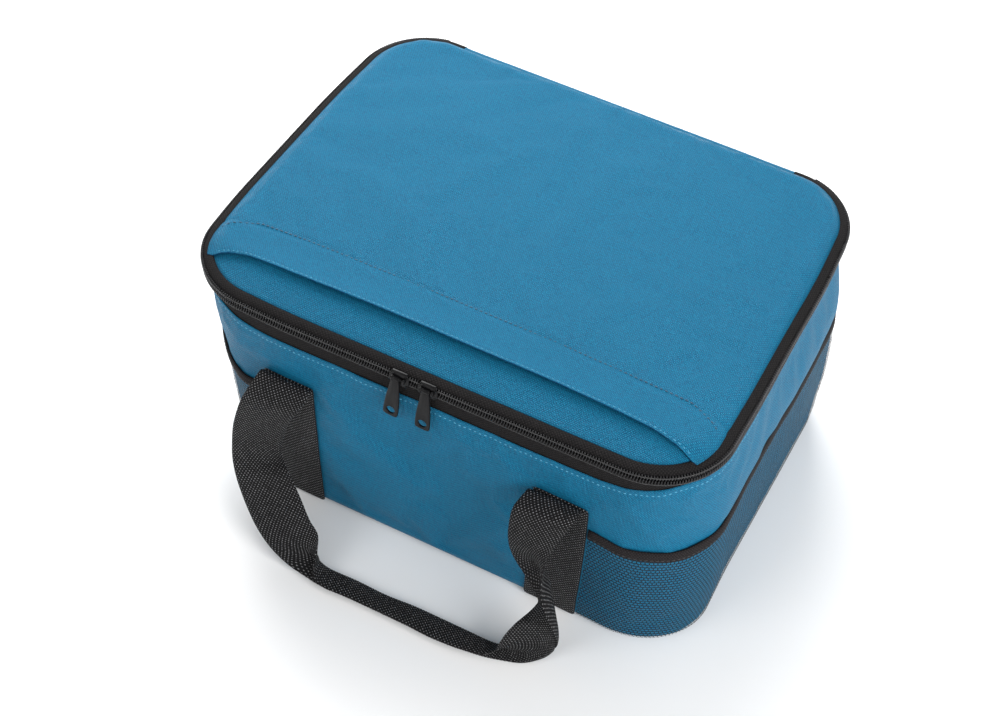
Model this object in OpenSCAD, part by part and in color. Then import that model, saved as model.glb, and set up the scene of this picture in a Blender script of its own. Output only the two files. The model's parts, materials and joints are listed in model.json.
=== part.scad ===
// Insulated cooler bag: a padded box with a zipped, hinged lid, a slot pocket in the lid,
// a mesh pocket round each end and a webbing handle on the front and on the rear.
// Millimetres, +Z up, the origin on the floor under the middle of the bag, the front faces -Y.

/* [Body] */
// Width over the wall cloth
body_w = 364; // [320:1:460]
// Depth over the wall cloth
body_d = 294; // [250:1:380]
// Height from the floor to the middle of the zip
zip_z = 174; // [140:1:240]
// Outer radius of the four upright corners
corner_r = 50; // [35:1:70]

/* [Cloth and padding] */
// Thickness of the outer cloth
cloth_t = 0.8; // [0.5:0.1:1.5]
// Thickness of the foam in the walls, base and lid
foam_t = 5; // [3:0.5:10]
// Thickness of the foil lining
lining_t = 0.6; // [0.4:0.1:1.2]
// Thickness of the binding that covers the raw edges inside
binding_t = 1; // [0.6:0.1:1.6]

/* [Zip] */
// Width of the lower tape that shows between the wall cloth and the teeth
tape_w = 10; // [8:0.5:16]
// Length of tape tucked under the folded edge of the wall cloth
tape_tuck = 10; // [6:0.5:14]
// Thickness of the tape
tape_t = 0.8; // [0.5:0.1:1]
// Height of one row of teeth
coil_h = 3.2; // [2.4:0.1:4]
// How far a row of teeth stands proud of the wall cloth
coil_proud = 1.4; // [1:0.1:2]
// Gap between the two rows, where the slider's blade runs
zip_gap = 1.2; // [1:0.1:2]
// Length of zip left out of the straight rear run at each end
zip_end_gap = 6; // [2:1:12]

/* [Lid] */
// Width of the upper tape between the teeth and the lid cloth
lid_edge = 8; // [5:0.5:12]
// Height of the slot pocket on the lid
slot_h = 5; // [4.6:0.2:8]
// Distance from the front edge of the lid cloth to the pocket's hem
hem_back = 20; // [10:1:50]

/* [Webbing] */
// Width of the webbing
web_w = 38; // [25:1:50]
// Thickness of the webbing where it is sewn down
web_t = 2; // [1.2:0.1:3]
// Distance from the middle of the bag to the middle of a strap
strap_x = 95; // [70:1:110]
// How far the handle's fold lies below the middle of the zip
strap_drop = 47; // [42:1:70]
// Thickness of the free handle
handle_t = 3; // [2:0.5:5]
// Width of the folded grip
grip_w = 19; // [14:1:26]
// How far each leg leans in towards the grip
leg_lean = 22; // [10:1:30]
// Angle at which the hanging handle stands out from the wall
handle_tilt = 24.5; // [18:0.5:35]
// Height of the hanging grip above the floor
grip_clear = 1; // [0.5:0.5:10]

/* [Mesh pockets] */
// Height of the mesh pockets
pocket_h = 109; // [80:1:130]
// Free depth between the wall and the mesh
pocket_gap = 7; // [5.5:0.5:20]
// Thickness of the mesh
mesh_t = 0.8; // [0.5:0.1:1.2]
// Width of the binding along the top of the mesh
band_w = 9; // [6:0.5:12]
// Thickness of that binding on each side of the mesh
band_t = 0.6; // [0.4:0.1:1.2]

/* [Sliders and pulls] */
// Length of a slider
slider_l = 14; // [10:0.5:18]
// Distance from the middle of the bag to a closed slider
slider_x = 10; // [8:1:30]
// Thickness of a slider's plates
plate_t = 1.2; // [0.8:0.1:2]
// Running gap between the slider and the teeth
slider_gap = 0.3; // [0.25:0.05:0.5]
// Radius of the bridge that the pull hangs on
bridge_r = 0.9; // [0.7:0.1:1.2]
// Length of a pull, from the bridge to its end
pull_l = 36; // [24:1:40]
// Width of a pull
pull_w = 10.4; // [8:0.2:12]
// Thickness of a pull
pull_t = 1.4; // [1:0.1:2]
// Radius of the hole in the pull's end
pull_hole_r = 2.5; // [1.5:0.1:3.2]

/* [Hidden] */
$fn = 64;

cloth_blue = [0.09, 0.45, 0.62];
web_black = [0.06, 0.06, 0.07];
tape_black = [0.1, 0.1, 0.1];
foam_white = [0.9, 0.9, 0.88];
foil_silver = [0.78, 0.8, 0.82];
metal_black = [0.03, 0.03, 0.03];
cut = 1; // how far a cutting solid runs past what it cuts
big = 1000; // larger than the whole bag

// heights of the body's layers
coil_top = zip_z - zip_gap / 2;
coil_low = coil_top - coil_h;
wall_top = coil_low - tape_w;
tape_low = wall_top - tape_tuck;
mouth_top = coil_low - 2;
foam_top = mouth_top - 2 * binding_t;
floor_z = cloth_t + foam_t;
mouth_skirt = 8;

// depths into the wall, from its outer face
foam_in = cloth_t + foam_t;
lining_in = foam_in + lining_t;
mouth_in = lining_in + binding_t;
tape_in = cloth_t + tape_t;

// heights of the lid's layers
lid_coil_low = zip_z + zip_gap / 2;
lid_edge_z = lid_coil_low + coil_h;
lid_cloth_z = lid_edge_z + tape_t;
slot_z = lid_cloth_z + cloth_t;
slot_top = slot_z + slot_h;
lid_foam_z = lid_edge_z - foam_t;
lid_lining_z = lid_foam_z - lining_t;
lid_pad_in = tape_in + slider_gap + plate_t + 2 * binding_t;

// the rear stretch without a zip, and where the straps and pockets meet
zip_end_x = body_w / 2 - corner_r - zip_end_gap;
pocket_x = strap_x + web_w / 2 + 0.5;
fold_z = zip_z - strap_drop;
fold_gap = 0.4;
fold_r = handle_t * 0.6;
fold_end = 1;
fold_y = body_d / 2 + web_t + fold_gap + fold_r;
handle_l = (fold_z - grip_clear - handle_t / 2 * sin(handle_tilt)) / cos(handle_tilt);

// the slider's and the pull's places
slider_low = coil_low - 1.6;
slider_high = lid_edge_z + 1.6;
slider_face = body_d / 2 + coil_proud + slider_gap + plate_t;
bridge_y = slider_face + 2.3;
bridge_z = zip_z + 1;
bridge_l = 9;
eye_r = bridge_r + 1;
eye_gap = 0.3;
eye_l = bridge_l - 4 * bridge_r - 2 * eye_gap;

// A plate with four round corners, between two heights, set in from the wall's outer face.
module plate(inset, low, high) {
  w = body_w - 2 * inset;
  d = body_d - 2 * inset;
  r = corner_r - inset;
  translate([0, 0, low]) union() {
    translate([-w / 2, r - d / 2, 0]) cube([w, d - 2 * r, high - low]);
    translate([r - w / 2, -d / 2, 0]) cube([w - 2 * r, d, high - low]);
    for (x = [r - w / 2, w / 2 - r], y = [r - d / 2, d / 2 - r])
      translate([x, y, 0]) cylinder(r = r, h = high - low);
  }
}

// A band that runs all round the bag, between two depths and two heights.
module band(outer, inner, low, high) {
  difference() {
    plate(outer, low, high);
    plate(inner, low - cut, high + cut);
  }
}

// The space behind the rear of the bag where the zip stops, between two heights.
module rear_space(low, high) {
  translate([-zip_end_x, 0, low]) cube([2 * zip_end_x, big, high - low]);
}

// A band that leaves out the rear stretch.
module open_band(outer, inner, low, high) {
  difference() {
    band(outer, inner, low, high);
    rear_space(low - cut, high + cut);
  }
}

// The rear stretch alone of such a band.
module rear_band(outer, inner, low, high) {
  intersection() {
    band(outer, inner, low, high);
    rear_space(low, high);
  }
}

// ---- body ----

module wall_panel() {
  color(cloth_blue) open_band(0, cloth_t, cloth_t, wall_top);
}

module rear_panel() {
  color(cloth_blue) rear_band(0, cloth_t, cloth_t, wall_top);
}

module base_panel() {
  color(cloth_blue) plate(0, 0, cloth_t);
}

module wall_foam() {
  color(foam_white) union() {
    open_band(cloth_t, foam_in, cloth_t, tape_low);
    open_band(tape_in, foam_in, tape_low, foam_top);
  }
}

module rear_foam() {
  color(foam_white) union() {
    rear_band(cloth_t, foam_in, cloth_t, tape_low);
    rear_band(tape_in, foam_in, tape_low, foam_top);
  }
}

module base_foam() {
  color(foam_white) plate(foam_in, cloth_t, floor_z);
}

module lining_tub() {
  color(foil_silver) difference() {
    plate(foam_in, floor_z, foam_top);
    plate(lining_in, floor_z + lining_t, foam_top + cut);
  }
}

module mouth_binding() {
  color(tape_black) union() {
    band(tape_in, mouth_in, foam_top, mouth_top);
    band(lining_in, mouth_in, foam_top - mouth_skirt, foam_top);
  }
}

module body_zip_tape() {
  color(tape_black) open_band(cloth_t, tape_in, tape_low, coil_low);
}

module body_zip_coil() {
  color(tape_black) open_band(-coil_proud, tape_in, coil_low, coil_top);
}

module hinge_strip() {
  color(cloth_blue) union() {
    rear_band(cloth_t, tape_in, tape_low, coil_top);
    rear_band(0, cloth_t, wall_top, coil_top);
  }
}

// A strap sewn flat to the wall, on the side that x and y give the sign of.
module strap(x, y) {
  color(web_black)
    translate([x * strap_x - web_w / 2, y > 0 ? body_d / 2 : -body_d / 2 - web_t, cloth_t])
      cube([web_w, web_t, fold_z - cloth_t]);
}

module front_strap_left() {
  strap(-1, -1);
}

module front_strap_right() {
  strap(1, -1);
}

module rear_strap_left() {
  strap(-1, 1);
}

module rear_strap_right() {
  strap(1, 1);
}

// Everything beyond a strap's outer edge at one end of the bag.
module end_space(side, from_x, low, high) {
  translate([side > 0 ? from_x : -from_x - big, -big, low]) cube([big, 2 * big, high - low]);
}

module mesh_pocket(side) {
  outer = -pocket_gap - mesh_t;
  top = pocket_h - band_t;
  color(tape_black) difference() {
    intersection() {
      band(outer, 0, 0, top);
      end_space(side, pocket_x, 0, top);
    }
    intersection() {
      band(-pocket_gap, cut, mesh_t, top + cut);
      end_space(side, pocket_x + mesh_t, mesh_t, top + cut);
    }
    plate(0, -cut, top + cut);
  }
}

module mesh_pocket_left() {
  mesh_pocket(-1);
}

module mesh_pocket_right() {
  mesh_pocket(1);
}

module pocket_binding(side) {
  color(tape_black) intersection() {
    difference() {
      band(-pocket_gap - mesh_t - band_t, band_t - pocket_gap, pocket_h - band_w, pocket_h);
      band(-pocket_gap - mesh_t, -pocket_gap, pocket_h - band_w - cut, pocket_h - band_t);
    }
    end_space(side, pocket_x + mesh_t, pocket_h - band_w, pocket_h);
  }
}

module pocket_binding_left() {
  pocket_binding(-1);
}

module pocket_binding_right() {
  pocket_binding(1);
}

// ---- lid ----

module lid_panel() {
  color(cloth_blue) plate(lid_edge, lid_cloth_z, slot_z);
}

module lid_slot_panel() {
  mouth_y = lid_edge + hem_back - body_d / 2;
  color(cloth_blue) difference() {
    plate(lid_edge, slot_z, slot_top + cloth_t);
    plate(lid_edge + cloth_t, slot_z - cut, slot_top);
    translate([-big, mouth_y - big, slot_z - cut]) cube([2 * big, big, big]);
  }
}

module lid_foam() {
  color(foam_white) plate(lid_pad_in, lid_foam_z, lid_edge_z);
}

module lid_lining() {
  color(foil_silver) plate(lid_pad_in, lid_lining_z, lid_foam_z);
}

module lid_binding() {
  color(tape_black) union() {
    band(lid_pad_in - binding_t, lid_pad_in, lid_lining_z, lid_edge_z);
    band(lid_pad_in - binding_t, lid_pad_in + binding_t * 4, lid_lining_z - binding_t, lid_lining_z);
  }
}

module lid_zip_tape() {
  color(tape_black) open_band(0, lid_edge + 1, lid_edge_z, lid_cloth_z);
}

module lid_zip_coil() {
  color(tape_black) open_band(-coil_proud, tape_in, lid_coil_low, lid_edge_z);
}

module lid_hinge_edge() {
  color(cloth_blue) union() {
    rear_band(0, cloth_t, lid_coil_low, lid_edge_z);
    rear_band(0, lid_edge + 1, lid_edge_z, lid_cloth_z);
  }
}

// ---- sliders and pulls ----

// The slider holds the lower row of teeth between two plates, joined by a blade in the gap.
module slider(x) {
  back = body_d / 2 - tape_in - slider_gap;
  color(metal_black) translate([x, 0, 0]) union() {
    translate([-slider_l / 2, -slider_face, slider_low])
      cube([slider_l, plate_t, slider_high - slider_low]);
    translate([-slider_l / 2, -back, coil_low - 1.6])
      cube([slider_l, plate_t, lid_edge_z - slider_gap - coil_low + 1.6]);
    translate([-slider_l / 2, -slider_face + plate_t / 2, coil_top + slider_gap])
      cube([slider_l, slider_face - back + plate_t / 2, zip_gap - 2 * slider_gap]);
    translate([-bridge_l / 2, -bridge_y, bridge_z]) rotate([0, 90, 0])
      cylinder(r = bridge_r, h = bridge_l);
    for (side = [-1, 1])
      translate([side * (bridge_l / 2 - bridge_r), -slider_face + plate_t / 2, bridge_z])
        rotate([90, 0, 0]) cylinder(r = bridge_r, h = bridge_y - slider_face + plate_t / 2);
  }
}

module slider_left() {
  slider(-slider_x);
}

module slider_right() {
  slider(slider_x);
}

// A flat pull with an eye round the bridge at its top and a round hole near its end.
module pull(x) {
  shoulder_z = bridge_z - 5;
  end_z = bridge_z - pull_l + pull_w / 2;
  color(metal_black) translate([x, -bridge_y, 0]) difference() {
    union() {
      translate([-eye_l / 2, 0, bridge_z]) rotate([0, 90, 0]) cylinder(r = eye_r, h = eye_l);
      translate([-eye_l / 2, -pull_t / 2, shoulder_z])
        cube([eye_l, pull_t, bridge_z - shoulder_z]);
      translate([-pull_w / 2, -pull_t / 2, end_z]) cube([pull_w, pull_t, shoulder_z - end_z]);
      translate([0, pull_t / 2, end_z]) rotate([90, 0, 0]) cylinder(d = pull_w, h = pull_t);
    }
    translate([-eye_l, 0, bridge_z]) rotate([0, 90, 0])
      cylinder(r = bridge_r + eye_gap, h = 2 * eye_l);
    translate([0, pull_t, end_z]) rotate([90, 0, 0]) cylinder(r = pull_hole_r, h = 2 * pull_t);
  }
}

module pull_left() {
  pull(-slider_x);
}

module pull_right() {
  pull(slider_x);
}

// ---- handles ----

// The free handle drawn flat: two legs from the folds, leaning in to a narrower grip.
module handle_outline() {
  half = web_w / 2;
  knee = handle_l - grip_w - 14;
  bottom_x = strap_x - leg_lean;
  inner_x = bottom_x - half;
  straight = 2 * fold_r;
  polygon([
    [-strap_x - half, 0], [-strap_x + half, 0],
    [-strap_x + half, -straight], [-inner_x, -knee], [-inner_x + 10, -handle_l + grip_w],
    [inner_x - 10, -handle_l + grip_w],
    [inner_x, -knee], [strap_x - half, -straight],
    [strap_x - half, 0], [strap_x + half, 0],
    [strap_x + half, -straight], [bottom_x + half, -knee], [inner_x + 12, -handle_l],
    [-inner_x - 12, -handle_l],
    [-bottom_x - half, -knee], [-strap_x - half, -straight]
  ]);
}

module front_handle() {
  color(web_black) translate([0, -fold_y, fold_z]) union() {
    rotate([90 - handle_tilt, 0, 0]) translate([0, 0, -handle_t / 2])
      linear_extrude(height = handle_t) handle_outline();
    for (side = [-1, 1])
      translate([side * strap_x - web_w / 2 + fold_end, 0, 0]) rotate([0, 90, 0])
        cylinder(r = fold_r, h = web_w - 2 * fold_end);
  }
}

module rear_handle() {
  mirror([0, 1, 0]) front_handle();
}

wall_panel();
rear_panel();
base_panel();
wall_foam();
rear_foam();
base_foam();
lining_tub();
mouth_binding();
body_zip_tape();
body_zip_coil();
hinge_strip();
front_strap_left();
front_strap_right();
rear_strap_left();
rear_strap_right();
mesh_pocket_left();
mesh_pocket_right();
pocket_binding_left();
pocket_binding_right();
lid_panel();
lid_slot_panel();
lid_foam();
lid_lining();
lid_binding();
lid_zip_tape();
lid_zip_coil();
lid_hinge_edge();
slider_left();
slider_right();
pull_left();
pull_right();
front_handle();
rear_handle();
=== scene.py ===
"""Insulated cooler bag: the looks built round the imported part. Metres, +Z up, the front faces -Y."""

import json
import math

import bmesh
import bpy
import numpy as np
from mathutils import Matrix, Vector, noise


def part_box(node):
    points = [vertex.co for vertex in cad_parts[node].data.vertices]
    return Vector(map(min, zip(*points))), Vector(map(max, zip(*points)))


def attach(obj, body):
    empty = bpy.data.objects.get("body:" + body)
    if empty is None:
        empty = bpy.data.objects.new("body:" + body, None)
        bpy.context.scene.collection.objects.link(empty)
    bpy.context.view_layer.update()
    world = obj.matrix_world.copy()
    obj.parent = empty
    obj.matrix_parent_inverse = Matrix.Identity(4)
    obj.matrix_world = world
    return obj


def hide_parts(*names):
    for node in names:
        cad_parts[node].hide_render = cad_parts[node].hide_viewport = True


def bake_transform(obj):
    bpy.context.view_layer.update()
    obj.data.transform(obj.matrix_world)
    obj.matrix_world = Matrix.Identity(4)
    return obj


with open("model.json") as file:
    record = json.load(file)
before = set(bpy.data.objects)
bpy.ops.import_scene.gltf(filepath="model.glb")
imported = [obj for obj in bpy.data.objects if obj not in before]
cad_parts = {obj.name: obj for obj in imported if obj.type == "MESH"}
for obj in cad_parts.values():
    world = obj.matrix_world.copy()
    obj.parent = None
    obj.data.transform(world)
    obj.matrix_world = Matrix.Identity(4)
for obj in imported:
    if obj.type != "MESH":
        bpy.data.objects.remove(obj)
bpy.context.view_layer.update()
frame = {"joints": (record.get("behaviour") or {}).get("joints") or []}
MM = 0.001

# ---- sizes, from the part's own nodes where it has them ----
wall_low, wall_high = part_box("wall_panel")
HALF_W = wall_high.x
HALF_D = -wall_low.y
WALL_TOP = wall_high.z
CORNER_R = 50 * MM
COIL_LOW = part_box("body_zip_coil")[0].z
COIL_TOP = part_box("body_zip_coil")[1].z
LID_COIL_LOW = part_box("lid_zip_coil")[0].z
LID_COIL_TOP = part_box("lid_zip_coil")[1].z
ZIP_Z = (COIL_TOP + LID_COIL_LOW) / 2
REAR_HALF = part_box("rear_panel")[1].x
LID_TAPE_IN = HALF_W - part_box("lid_panel")[1].x
LID_CLOTH_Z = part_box("lid_panel")[0].z
HEM_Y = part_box("lid_slot_panel")[0].y
LID_PAD_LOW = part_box("lid_foam")[0].z
LID_PAD_IN = HALF_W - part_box("lid_foam")[1].x
LINING_IN = HALF_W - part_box("lining_tub")[1].x
FLOOR_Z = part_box("lining_tub")[0].z
MOUTH_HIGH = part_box("mouth_binding")[1].z
STRAP_LOW, STRAP_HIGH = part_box("front_strap_right")
STRAP_X = (STRAP_LOW.x + STRAP_HIGH.x) / 2
WEB_W = STRAP_HIGH.x - STRAP_LOW.x
WEB_T = 1.7 * MM
POCKET_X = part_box("mesh_pocket_right")[0].x
JOINT_AT = {j["name"]: Vector(j["pos_m"]) for j in frame["joints"] if "pos_m" in j}


def clamp(value, low=0.0, high=1.0):
    return max(low, min(high, value))


def smooth(value):
    t = clamp(value)
    return t * t * (3 - 2 * t)


def mix(a, b, t):
    return a + (b - a) * t


def wander(point, size, seed):
    """A slow, repeatable rise and fall between -1 and 1."""
    return noise.noise(Vector(point) / size + Vector((seed, seed * 1.7, -seed)))


# ---- the line that everything round the bag follows ----
class Outline:
    """A rounded rectangle, walked from the middle of the front towards +X."""

    def __init__(self, half_w, half_d, radius):
        self.half_w, self.half_d, self.radius = half_w, half_d, radius
        self.lx, self.ly = half_w - radius, half_d - radius
        arc = math.pi / 2 * radius
        self.runs = []
        corners = [(1, -1, -90), (1, 1, 0), (-1, 1, 90), (-1, -1, 180)]
        sides = [2 * self.ly, 2 * self.lx, 2 * self.ly, self.lx]
        headings = [(0, 1), (-1, 0), (0, -1), (1, 0)]
        starts = [(half_w, -self.ly), (self.lx, half_d), (-half_w, self.ly), (-self.lx, -half_d)]
        at = self.lx
        self.runs.append((0.0, at, "line", (0, -half_d), (1, 0)))
        for (cx, cy, turn), length, heading, start in zip(corners, sides, headings, starts):
            centre = (cx * self.lx, cy * self.ly)
            self.runs.append((at, at + arc, "arc", centre, math.radians(turn)))
            at += arc
            self.runs.append((at, at + length, "line", start, heading))
            at += length
        self.length = at

    def at(self, s):
        s = s % self.length
        for low, high, kind, a, b in self.runs:
            if s <= high or high == self.length:
                if kind == "line":
                    heading = Vector((b[0], b[1], 0))
                    return Vector((a[0], a[1], 0)) + heading * (s - low), Vector((b[1], -b[0], 0))
                turn = b + (s - low) / self.radius
                out = Vector((math.cos(turn), math.sin(turn), 0))
                return Vector((a[0], a[1], 0)) + out * self.radius, out

    def find(self, x, y):
        """How far round a place is, from -half to half the length, and how far in."""
        right, ax, ay = x >= 0, abs(x), abs(y)
        front = y < 0
        side_at = self.lx + math.pi / 2 * self.radius + self.ly
        if ax > self.lx and ay > self.ly:
            dx, dy = ax - self.lx, ay - self.ly
            turn = math.atan2(dx, dy)
            inset = self.radius - math.hypot(dx, dy)
            s = self.lx + turn * self.radius
            s = s if front else self.length / 2 - s
        elif ay <= self.ly and (ax > self.lx or self.half_w - ax < self.half_d - ay):
            inset = self.half_w - ax
            s = side_at + y
        else:
            inset = self.half_d - ay
            s = ax if front else self.length / 2 - ax
        return (s if right else -s), inset

    def moves(self, start, stop):
        """The straight and curved stretches between two places, in order."""
        lap = math.floor(start / self.length)
        while True:
            for low, high, kind, a, b in self.runs:
                low, high = low + lap * self.length, high + lap * self.length
                first, last = max(low, start), min(high, stop)
                if last - first > 1e-7:
                    yield kind, last - first, a, b
                if high >= stop:
                    return
            lap += 1


def inner_outline(inset):
    return Outline(HALF_W - inset, HALF_D - inset, CORNER_R - inset)


wall = inner_outline(0.0)
HALF_ROUND = wall.length / 2
ZIP_END = HALF_ROUND - REAR_HALF

BASE_LEAN, ZIP_LEAN, ZIP_SPREAD = -0.068, 0.0137, 0.0115
SIDE_SWELL = 0.026
CORNER_AT = wall.lx + math.pi / 4 * CORNER_R
# each corner's place, and how far in millimetres it is drawn in at the zip and at the floor:
# front right, rear right, rear left, front left
DRAWN_IN = [(CORNER_AT, 0.5, -2.5), (HALF_ROUND - CORNER_AT, 2.6, 0.0),
            (CORNER_AT - HALF_ROUND, 1.6, 3.0), (-CORNER_AT, 3.2, 5.0)]


def settle(co):
    """Where a place on the clean, upright bag lies on the real one, which leans and swells."""
    h = clamp(co[2] / ZIP_Z)
    lean = mix(BASE_LEAN, ZIP_LEAN, 1 - (1 - h) ** 1.25)
    spread = ZIP_SPREAD * h + SIDE_SWELL * 4 * (1 - h) * h * (0.4 + h * 0.9)
    x, y = co[0] * (1 + spread), co[1] * (1 + lean)
    end = smooth((abs(co[0]) - 0.10) / 0.06)
    y -= mix(1.7, -0.6, end) * MM * smooth((co[1] - 0.09) / 0.05) * h
    x -= math.copysign(1.6 * MM, x) * end * smooth((co[1] - 0.03) / 0.08) * h
    slump = 1 - h ** 4.9
    x += 12.5 * MM * slump * smooth((-co[0] - 0.095) / 0.085)
    y += 5 * MM * slump * smooth((-co[0] - 0.115) / 0.06) * smooth((-co[1] - 0.05) / 0.09)
    side = smooth((co[0] - 0.10) / 0.08)
    x += 4.5 * MM * side * smooth((0.115 - co[2]) / 0.07)
    x -= 4.5 * MM * side * smooth((co[1] + 0.07) / 0.09) * math.exp(-((co[2] - 0.150) / 0.020) ** 2)
    below = clamp((WALL_TOP - co[2]) / WALL_TOP)
    loose = smooth(below * 5) * smooth((1 - below) * 6)
    s, inset = wall.find(co[0], co[1])
    out = wall.at(s)[1]
    near_edge = smooth(1 - inset / (75 * MM))
    for at, high, low in DRAWN_IN:
        share = math.cos(math.pi / 2 * clamp(abs(s - at) / (85 * MM))) ** 2 * near_edge
        if share > 0:
            pull_in = mix(low, high, smooth(h * 1.3 - 0.15)) * MM * share
            x, y = x - out.x * pull_in, y - out.y * pull_in
    if loose > 0:
        rise = 1.5 * MM * loose * wander((s, co[2] * 0.6, 0), 0.055, 3.1)
        rise += 0.6 * MM * loose * wander((s, co[2] * 0.8, 0), 0.021, 7.7)
        x, y = x + out.x * rise, y + out.y * rise
    return Vector((x, y, co[2]))


# ---- bmesh helpers ----
def verts_of(geom):
    return [g for g in geom if isinstance(g, bmesh.types.BMVert)]


def edges_of(geom):
    return [g for g in geom if isinstance(g, bmesh.types.BMEdge)]


def sew(profile, start, stop, closed=False, step=5 * MM):
    """Carries a profile of (inset, height) places round the bag. Returns the clean mesh."""
    bm = bmesh.new()
    place, out = wall.at(start)
    verts = [bm.verts.new((place.x - out.x * i, place.y - out.y * i, h)) for i, h in profile]
    pairs = list(zip(verts, verts[1:])) + ([(verts[-1], verts[0])] if closed else [])
    edges = [bm.edges.new(pair) for pair in pairs]
    first, geom = list(edges), verts + edges
    for kind, length, a, b in wall.moves(start, stop):
        count = max(1, math.ceil(length / step - 1e-6))
        if kind == "line":
            pull = Vector((b[0], b[1], 0)) * (length / count)
            for _ in range(count):
                made = bmesh.ops.extrude_edge_only(bm, edges=edges_of(geom))["geom"]
                geom = verts_of(made) + edges_of(made)
                bmesh.ops.translate(bm, verts=verts_of(geom), vec=pull)
        else:
            made = bmesh.ops.spin(
                bm, geom=geom, cent=(a[0], a[1], 0), axis=(0, 0, 1),
                angle=length / wall.radius, steps=count, use_merge=False)["geom_last"]
            geom = verts_of(made) + edges_of(made)
    if abs(stop - start - wall.length) < 1e-6:
        bmesh.ops.remove_doubles(bm, verts=bm.verts[:], dist=1e-5)
    elif closed:
        bmesh.ops.holes_fill(bm, edges=first + edges_of(geom), sides=0)
    if closed:
        bmesh.ops.recalc_face_normals(bm, faces=bm.faces[:])
    else:
        face_out(bm)
    lay_uv(bm, profile, closed)
    return bm


def ribbon(points, start, stop, shape=settle, **how):
    """A band sewn round the bag from places (inset, height) in millimetres."""
    return bend_all(sew([(i * MM, h * MM) for i, h in points], start, stop, **how), shape)


def face_out(bm):
    """Turns an open sheet so that its faces look away from the bag's middle."""
    bm.normal_update()
    lean = 0.0
    for f in bm.faces:
        c = f.calc_center_median()
        lean += f.normal.dot(Vector((c.x, c.y, 0)).normalized() + Vector((0, 0, 0.6))) * f.calc_area()
    if lean < 0:
        bmesh.ops.reverse_faces(bm, faces=bm.faces[:])


def across(profile, closed, inset, height):
    """How far along a profile a place lies."""
    best, found, run = 1e9, 0.0, 0.0
    points = list(profile) + ([profile[0]] if closed else [])
    for (i0, h0), (i1, h1) in zip(points, points[1:]):
        di, dh = i1 - i0, h1 - h0
        size = math.hypot(di, dh) or 1e-9
        t = clamp(((inset - i0) * di + (height - h0) * dh) / size ** 2)
        gap = math.hypot(inset - i0 - t * di, height - h0 - t * dh)
        if gap < best - 1e-7:
            best, found = gap, run + t * size
        run += size
    return found


def lay_uv(bm, profile, closed):
    """Real lengths as UV: along the bag, and across the piece."""
    layer = bm.loops.layers.uv.new("UVMap")
    spots = {}
    for v in bm.verts:
        s, inset = wall.find(v.co.x, v.co.y)
        spots[v] = (s, across(profile, closed, inset, v.co.z))
    for f in bm.faces:
        along = [spots[loop.vert][0] for loop in f.loops]
        wrapped = max(along) - min(along) > wall.length / 2
        for loop in f.loops:
            s, t = spots[loop.vert]
            loop[layer].uv = (s + (wall.length if wrapped and s < 0 else 0), t)


def bend_all(bm, shape):
    for v in bm.verts:
        v.co = shape(v.co)
    return bm


def rounded(bm, edges, offset, segments):
    bmesh.ops.bevel(bm, geom=edges, offset=offset, offset_type="OFFSET", segments=segments,
                    profile=0.5, affect="EDGES", material=-1)


def sharp_edges(bm, least):
    return [e for e in bm.edges if len(e.link_faces) == 2 and e.calc_face_angle(0) > least]


def lay_along_x(bm):
    bmesh.ops.rotate(bm, verts=bm.verts[:], cent=(0, 0, 0), matrix=Matrix.Rotation(math.pi / 2, 3, "Y"))


def bar(segments, radius, length):
    bm = bmesh.new()
    bmesh.ops.create_cone(bm, cap_ends=True, segments=segments, radius1=radius, radius2=radius,
                          depth=length)
    return bm


def piece(name, bm, look):
    mesh = bpy.data.meshes.new(name)
    bm.to_mesh(mesh)
    bm.free()
    mesh.polygons.foreach_set("use_smooth", [True] * len(mesh.polygons))
    mesh.materials.append(look)
    made = bpy.data.objects.new(name, mesh)
    bpy.context.scene.collection.objects.link(made)
    return made


def thicken(obj, thickness, offset=-1.0, levels=0):
    solid = obj.modifiers.new("thickness", "SOLIDIFY")
    solid.thickness, solid.offset = thickness, offset
    if levels:
        subsurf = obj.modifiers.new("round", "SUBSURF")
        subsurf.levels = subsurf.render_levels = levels
    return obj


def thicken_now(obj, thickness, offset):
    """Gives a piece its thickness at once, so that a blend moves both faces alike."""
    thicken(obj, thickness, offset)
    with bpy.context.temp_override(object=obj, active_object=obj, selected_objects=[obj]):
        bpy.ops.object.modifier_apply(modifier="thickness")
    return obj


def puff(obj, held, room, growth=0.006, pressure=0.5, frames=20):
    """Lets slack cloth take its own shape between held places. Each place may move so far in and out."""
    scene = bpy.context.scene
    group = obj.vertex_groups.new(name="held")
    group.add(held, 1.0, "REPLACE")
    before = [(v.co.copy(), v.normal.copy()) for v in obj.data.vertices]
    cloth = obj.modifiers.new("cloth", "CLOTH")
    cloth.settings.quality = 5
    cloth.settings.mass = 0.15
    cloth.settings.tension_stiffness = cloth.settings.compression_stiffness = 20
    cloth.settings.shear_stiffness = 8
    cloth.settings.bending_stiffness = 1.2
    cloth.settings.vertex_group_mass = "held"
    cloth.settings.use_pressure = True
    cloth.settings.uniform_pressure_force = pressure
    cloth.settings.shrink_min = -growth
    cloth.settings.effector_weights.gravity = 0
    cloth.collision_settings.use_collision = False
    cloth.collision_settings.use_self_collision = False
    cloth.point_cache.frame_start, cloth.point_cache.frame_end = 1, frames
    for k in range(1, frames + 1):
        scene.frame_set(k)
    with bpy.context.temp_override(object=obj, active_object=obj, selected_objects=[obj]):
        bpy.ops.object.modifier_apply(modifier="cloth")
    scene.frame_set(1)
    obj.vertex_groups.clear()
    for v, (old, normal), (inward, outward) in zip(obj.data.vertices, before, room):
        v.co = old + normal * clamp((v.co - old).dot(normal), -inward, outward)
    return obj


def fit(obj, body, slot, *nodes):
    """Puts a piece on its body, and hides the nodes that it stands for. Its slot is not used."""
    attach(obj, body)
    if nodes:
        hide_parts(*nodes)
    return obj


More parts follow.
